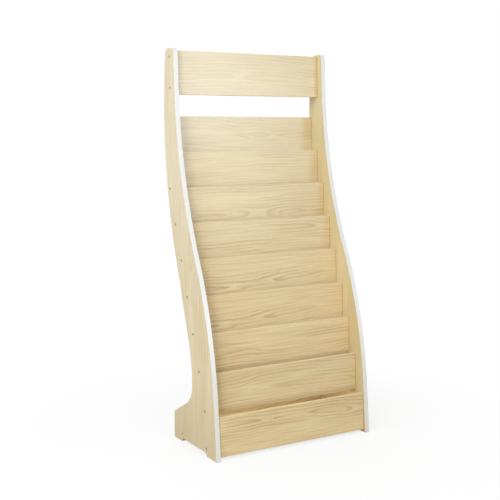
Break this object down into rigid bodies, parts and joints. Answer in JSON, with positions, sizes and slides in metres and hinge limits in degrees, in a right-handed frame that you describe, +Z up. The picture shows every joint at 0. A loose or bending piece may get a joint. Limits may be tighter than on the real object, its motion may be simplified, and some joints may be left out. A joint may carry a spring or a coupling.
{
  "type": "magazine display rack",
  "caption": "Free-standing rack with S-curved side panels, white front edging, a header board and stepped magazine pockets over a flared foot.",
  "frame": {"origin": "on the floor, midway between the side panels and midway between the foremost and rearmost edges", "axes": "+X across the rack to its right as a reader faces it, +Y towards its rear, +Z up"},
  "size_m": [0.58, 0.3476, 1.262],
  "materials": {
    "panel_wood": "satin pale ash laminate, grain upright",
    "board_wood": "satin pale ash laminate, grain across the rack",
    "white_edging": "smooth white edge strip",
    "screw_steel": "zinc plated, satin",
    "dowel_wood": "plain beech"
  },
  "bodies": {
    "root": {"left_side_panel": "panel_wood", "right_side_panel": "panel_wood", "left_front_band": "white_edging", "right_front_band": "white_edging", "header_board": "board_wood", "back_board": "board_wood", "front_board": "board_wood", "base_shelf": "board_wood", "rear_rail": "board_wood", "pocket_lip_1": "board_wood", "pocket_lip_2": "board_wood", "pocket_lip_3": "board_wood", "pocket_lip_4": "board_wood", "pocket_lip_5": "board_wood", "pocket_lip_6": "board_wood", "pocket_lip_7": "board_wood", "pocket_ledge_1": "board_wood", "pocket_ledge_2": "board_wood", "pocket_ledge_3": "board_wood", "pocket_ledge_4": "board_wood", "pocket_ledge_5": "board_wood", "pocket_ledge_6": "board_wood", "pocket_ledge_7": "board_wood", "panel_screws": "screw_steel", "underside_screws": "screw_steel", "dowels": "dowel_wood"}
  },
  "joints": []
}
